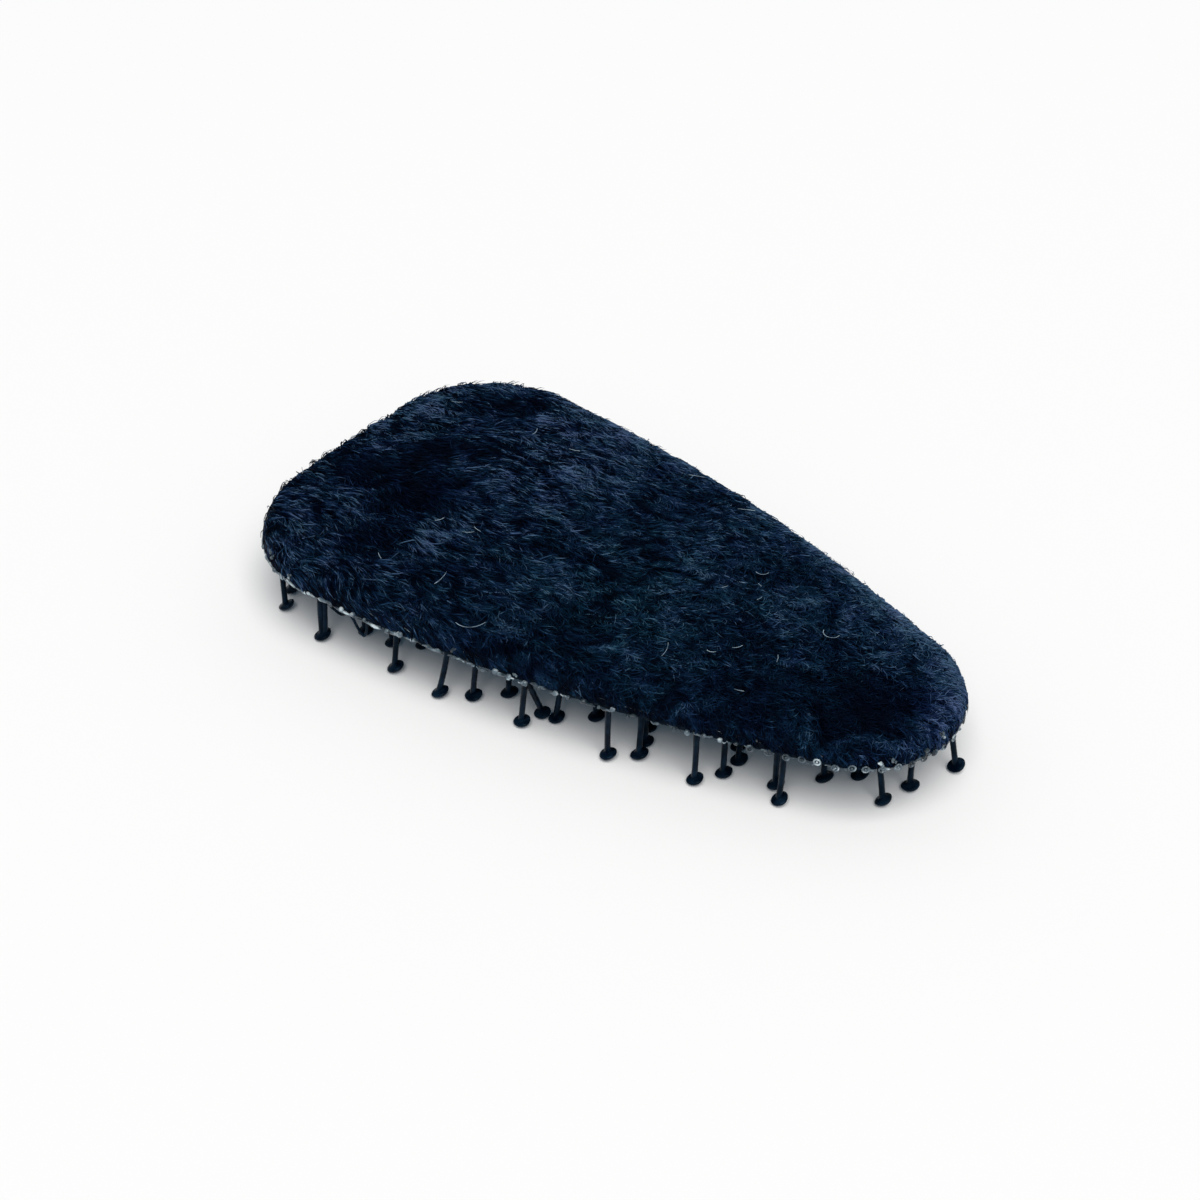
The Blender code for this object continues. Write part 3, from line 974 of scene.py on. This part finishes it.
def tape_mesh():
    """The woven ground: a relief of crossing yarns under it, and a plain top."""
    way = warp_way()
    side = np.array((-way[1], way[0]))
    corners = np.c_[OUTLINE @ way, OUTLINE @ side]
    low, high = corners.min(0), corners.max(0)
    us = np.arange(low[0] - WEAVE_GRID, high[0] + 2 * WEAVE_GRID, WEAVE_GRID)
    vs = np.arange(low[1] - WEAVE_GRID, high[1] + 2 * WEAVE_GRID, WEAVE_GRID)
    u, v = np.meshgrid(us, vs, indexing="ij")
    xy = u.reshape(-1, 1) * way + v.reshape(-1, 1) * side
    depth, outward = EDGE(xy)
    depth = depth - TAPE_EDGE_INSET
    inside = (depth > 0).reshape(u.shape)
    quads = inside[:-1, :-1] & inside[1:, :-1] & inside[1:, 1:] & inside[:-1, 1:]
    index = np.arange(u.size).reshape(u.shape)
    faces = np.stack([index[:-1, :-1], index[:-1, 1:], index[1:, 1:], index[1:, :-1]], -1)[quads]
    edges = {}
    for a, b, c, d in faces.tolist():
        for start, end in ((a, b), (b, c), (c, d), (d, a)):
            if (end, start) in edges:
                del edges[(end, start)]
            else:
                edges[(start, end)] = True
    rim = np.unique([start for start, _ in edges])
    xy[rim] += outward[rim] * depth[rim, None]
    relief = np.cos(math.pi * u / WEFT_PITCH) * np.cos(math.pi * v / WARP_PITCH)
    height = TAPE_BOTTOM + WEAVE_HEIGHT * (0.5 - 0.5 * relief.ravel())
    used = np.unique(faces)
    number = np.full(u.size, -1)
    number[used] = np.arange(len(used))
    bottom = np.c_[xy, height][used]
    ordered = follow(edges)
    top = np.c_[xy[ordered], np.full(len(ordered), TAPE_TOP)]
    lower = number[ordered].tolist()
    upper = list(range(len(used), len(used) + len(ordered)))
    walls = list(zip(lower[1:] + lower[:1], lower, upper, upper[1:] + upper[:1]))
    shape = Shape()
    shape.add(np.vstack([bottom, top]), number[faces].tolist() + walls + [tuple(upper)])
    return shape.mesh("woven_ground")


# The outline's points and normals, closed, and how far along it each one is
CLOSED = np.c_[OUTLINE, OUT_NORMALS][np.append(np.arange(len(OUTLINE)), 0)]
MARKS = np.append(0, np.cumsum(np.linalg.norm(np.diff(CLOSED[:, :2], axis=0), axis=1)))


def along_outline(distance):
    """(point, outward) at this distance along the outline."""
    values = [np.interp(distance % MARKS[-1], MARKS, column) for column in CLOSED.T]
    return np.array(values[:2]), unit(np.array(values[2:]))


def glue_along(distances, inset, heights, radii, sides=6):
    """Rings of points along the outline, for glue this far inside it."""
    rings = []
    turns = circle(sides)
    for distance, height, radius in zip(distances, heights, radii):
        point, outward = along_outline(distance)
        centre = np.append(point - outward * inset, height)
        ray = np.c_[np.cos(turns)[:, None] * outward, 1.2 * np.sin(turns)]
        rings.append(centre + radius * ray)
    return rings


def held_in(outward):
    """How far the glue is held in on this side."""
    return 0 if outward @ GLUE_SIDE > 0 else GLUE_HELD_IN


def glue_line():
    """Glue squeezed out along the cut edge, in lumpy stretches with gaps between them."""
    rng = np.random.default_rng(31)
    shape = Shape()
    distance = 0.0
    while distance < MARKS[-1] - 0.5 * MM:
        point, outward = along_outline(distance)
        full = point[0] < GLUE_FULL_END
        length = rng.uniform(0.6, 2.2 if full else 0.8) * MM
        count = max(5, int(length / (0.09 * MM)))
        share = np.linspace(0, 1, count)
        swell = np.interp(share, np.linspace(0, 1, 7), rng.uniform(0.35, 1.0, 7))
        thickness = np.interp(point[0], *GLUE_RADII) if full else GLUE_THIN_RADIUS
        radius = thickness * rng.uniform(0.55, 1.15) * MM
        radii = radius * swell * np.sin(math.pi * (0.04 + 0.92 * share)) ** 0.4
        base = TAPE_BOTTOM + rng.uniform(0.02, 0.32) * MM
        heights = base + 0.06 * MM * np.interp(share, np.linspace(0, 1, 5), rng.normal(0, 1, 5))
        inset = rng.uniform(-0.10, 0.02) * MM + held_in(outward)
        shape.loft(glue_along(distance + length * share, inset, heights, radii))
        distance += length + rng.uniform(0.05, 0.35 if full else 1.2) * MM
    return shape.mesh("glue_line")


def bead(shape, centre, size, squash, rng):
    """A small uneven drop."""
    stacks, sides = 6, 8
    turns = circle(sides)
    rings = []
    for k in range(1, stacks):
        tip = math.pi * k / stacks
        ray = np.c_[np.cos(turns), np.sin(turns)] * math.sin(tip)
        grown = size * (1 + 0.18 * np.sin(turns * 2 + rng.uniform(0, 6)))[:, None]
        rings.append(centre + np.c_[ray * grown, np.full(sides, size * squash * math.cos(tip))])
    shape.loft(rings[::-1])


# Larger rough lumps of glue on the pile's side, where the photo shows them: (x, y, z, size) in mm
GLUE_LUMPS = (
    (-21.80, -14.30, 6.75, 0.15),
    (-21.50, -14.45, 6.50, 0.17),
    (-19.05, -15.10, 6.20, 0.20),
    (-4.35, -13.90, 6.10, 0.22),
    (0.58, -13.08, 5.80, 0.17),
    (25.40, -5.28, 5.95, 0.22),
    (25.93, -4.68, 6.05, 0.20),
    (27.17, -2.34, 6.20, 0.30),
    (27.40, -0.90, 6.50, 0.19),
)


def bead_mesh():
    """Drops and rings of glue along the cut edge, and the larger lumps."""
    rng = np.random.default_rng(41)
    shape = Shape()
    turns = np.append(circle(12), 2 * math.pi)
    distance = 0.0
    while distance < MARKS[-1]:
        point, outward = along_outline(distance)
        distance += BEAD_SPACING * rng.uniform(0.8, 1.2)
        height = TAPE_BOTTOM + rng.uniform(0.08, 0.30) * MM
        size = rng.uniform(0.13, 0.24) * MM
        out = rng.uniform(0.02, 0.08) * MM - held_in(outward)
        centre = np.append(point + outward * out, height)
        if point[0] > RINGS_START and rng.uniform() < 0.75:
            side = np.array((-outward[1], outward[0], 0.0))
            rays = [math.cos(turn) * side + math.sin(turn) * UP for turn in turns]
            shape.tube([centre + RING_RADIUS * ray for ray in rays], RING_THICKNESS, 6)
            size = 0.09 * MM
        elif rng.uniform() < (0.4 if point[0] < 0 else 0.1):
            continue
        bead(shape, centre, size, rng.uniform(0.8, 1.1), rng)
        if rng.uniform() < 0.35:
            shift = rng.normal(0, 0.25, 2) * MM
            low = np.append(centre[:2] + shift - outward * 0.15 * MM, TAPE_BOTTOM + 0.02 * MM)
            bead(shape, low, rng.uniform(0.06, 0.11) * MM, 1.0, rng)
    for x, y, z, size in GLUE_LUMPS:
        for _ in range(5):
            centre = np.array((x, y, z)) + 0.5 * size * rng.normal(0, 1, 3)
            grown, squash = rng.uniform(0.35, 0.65) * size, rng.uniform(0.7, 1.4)
            bead(shape, centre * MM, grown * MM, squash, rng)
    return shape.mesh("glue_drops")


# Stray fibres on the pile: (x, y, direction, length, bend), in mm and degrees
LINT = (
    (-2.9, 11.7, 30, 1.3, 4),
    (2.6, 10.4, 34, 1.3, 4),
    (7.3, 1.8, 60, 0.5, 30),
    (7.9, 3.1, 20, 0.4, 20),
    (10.1, 2.2, 80, 0.5, 30),
    (9.1, 3.8, -20, 0.4, 10),
    (8.2, 4.8, 40, 1.1, 120),
    (18.7, 7.0, 100, 1.2, 150),
    (15.7, 2.3, 20, 1.8, 170),
    (-15.6, 8.4, 110, 0.9, 60),
    (-12.1, 8.6, 20, 0.9, 20),
    (-23.7, 8.1, 30, 0.9, 40),
    (-11.6, -4.6, 40, 0.9, 50),
    (-14.1, -4.8, 70, 0.8, 60),
    (-11.3, -3.6, -10, 0.8, 20),
    (-14.7, -10.3, -30, 0.7, 20),
    (-9.1, -10.5, 100, 1.6, 30),
    (-5.2, -12.7, 42, 2.4, 100),
    (8.5, -6.9, 112, 1.5, 40),
    (14.4, -6.6, 20, 0.7, 20),
    (15.1, -2.6, 120, 0.8, 30),
    (11.8, -3.2, 60, 0.8, 60),
    (10.6, -4.5, 30, 0.7, 80),
)


def lint_mesh():
    """Pale stray fibres that lie on the pile."""
    shape = Shape()
    steps = 8
    for x, y, angle, length, turn in LINT:
        point = np.array((x, y)) * MM
        angle, turn = math.radians(angle), math.radians(turn)
        line = []
        for k in range(steps):
            depth, _ = EDGE(point[None])
            line.append(np.append(point, surface_height(depth)[0] + 0.10 * MM))
            heading = angle + turn * (k / (steps - 1) - 0.5)
            way = np.array((math.cos(heading), math.sin(heading)))
            point = point + length * MM / (steps - 1) * way
        shape.tube(line, LINT_RADIUS, 5)
    return shape.mesh("lint")


# A loose thread of filament that hangs out in a bend under the wide end's front edge, in mm
LOOSE_THREAD = (
    (-15.8, -14.70, 5.30),
    (-15.5, -14.75, 4.95),
    (-15.1, -14.75, 4.80),
    (-14.8, -14.70, 4.65),
    (-14.35, -14.70, 4.72),
    (-13.8, -14.65, 5.10),
    (-13.55, -14.50, 4.55),
    (-13.25, -14.35, 3.70),
    (-12.9, -14.20, 3.15),
    (-12.6, -14.15, 3.85),
    (-12.45, -14.25, 5.30),
)


def make_edges():
    """Glue, tape, thread and lint. The CAD film is shown as it is."""
    glue = film_material()
    piece("glue_line", glue_line(), glue, "film")
    piece("glue_drops", bead_mesh(), glue, "film")
    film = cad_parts["bonding_film"]
    film.data.materials.clear()
    film.data.materials.append(glue)
    piece("woven_ground", tape_mesh(), tape_material(), "tape", "hook_tape_ground")
    shape = Shape()
    shape.tube(smooth_line(np.array(LOOSE_THREAD) * MM, 4), THREAD_RADIUS, 8)
    filament = bpy.data.materials["black_filament"]
    piece("loose_thread", shape.mesh("loose_thread"), filament, "hook")
    piece("lint", lint_mesh(), lint_material(), "film")


def aim(obj, azimuth, elevation, distance, target=(0.0, 0.0, 0.0)):
    """Puts a camera or lamp this far from its target, turned to it."""
    level = math.cos(elevation)
    away = Vector((math.sin(azimuth) * level, -math.cos(azimuth) * level, math.sin(elevation)))
    obj.location = Vector(target) + distance * away
    obj.rotation_euler = (-away).to_track_quat("-Z", "Y").to_euler()


def make_camera():
    """The photograph's view."""
    data = bpy.data.cameras.new("camera")
    data.angle = VIEW_ANGLE
    data.clip_start = 0.001
    camera = show("camera", data)
    aim(camera, VIEW_AZIMUTH, VIEW_ELEVATION, VIEW_DISTANCE, VIEW_TARGET)
    bpy.context.scene.camera = camera


def seen_directly(tree):
    """1 for what the camera sees, in a gloss too, and 0 for light on the object."""
    path = add_node(tree, "ShaderNodeLightPath").outputs
    seen = calculate(tree, "MAXIMUM", path["Is Camera Ray"], path["Is Glossy Ray"])
    return calculate(tree, "MAXIMUM", seen, path["Is Transmission Ray"])


def make_floor():
    """The pale floor, which isn't part of the clip."""
    half = FLOOR_SIZE / 2
    mesh = bpy.data.meshes.new("floor")
    corners = ((-half, -half), (half, -half), (half, half), (-half, half))
    mesh.from_pydata([(x, y, -FLOOR_DROP) for x, y in corners], [], [(0, 1, 2, 3)])
    material, tree, shader = nodes_of("pale_floor")
    seen = seen_directly(tree)
    colour = colour_mix(tree, seen, FLOOR_COLOUR, FLOOR_SEEN_COLOUR)
    tree.links.new(colour, shader.inputs["Base Color"])
    # The floor's faint bluish glow, for the camera only
    glow = calculate(tree, "MULTIPLY", seen, FLOOR_GLOW)
    tree.links.new(glow, shader.inputs["Emission Strength"])
    settings(shader, Roughness=0.9, Specular_IOR_Level=0.0, Emission_Color=(*FLOOR_GLOW_COLOUR, 1))
    mesh.materials.append(material)
    show("floor", mesh)


def make_light():
    """The even world light, white to the camera, and one large lamp."""
    world = bpy.data.worlds.new("studio")
    world.use_nodes = True
    tree = world.node_tree
    background = tree.nodes["Background"]
    seen = add_node(tree, "ShaderNodeLightPath").outputs["Is Camera Ray"]
    strength = add_node(tree, "ShaderNodeMix", data_type="FLOAT")
    strength.inputs[2].default_value = WORLD_STRENGTH
    strength.inputs[3].default_value = 1.0
    tree.links.new(seen, strength.inputs[0])
    tree.links.new(strength.outputs[0], background.inputs["Strength"])
    colour = colour_mix(tree, seen, WORLD_COLOUR, (1.0, 1.0, 1.0))
    tree.links.new(colour, background.inputs["Color"])
    bpy.context.scene.world = world
    data = bpy.data.lights.new("key", "AREA")
    data.size = LAMP_SIZE
    data.color = LAMP_COLOUR
    data.energy = LAMP_STRENGTH * math.pi**2 * LAMP_DISTANCE**2 / math.sin(LAMP_ELEVATION)
    aim(show("key", data), LAMP_AZIMUTH, LAMP_ELEVATION, LAMP_DISTANCE)


bpy.context.scene.view_settings.view_transform = "Standard"
make_camera()
make_light()
make_floor()
make_plush()
make_filaments()
make_edges()

bpy.context.view_layer.update()
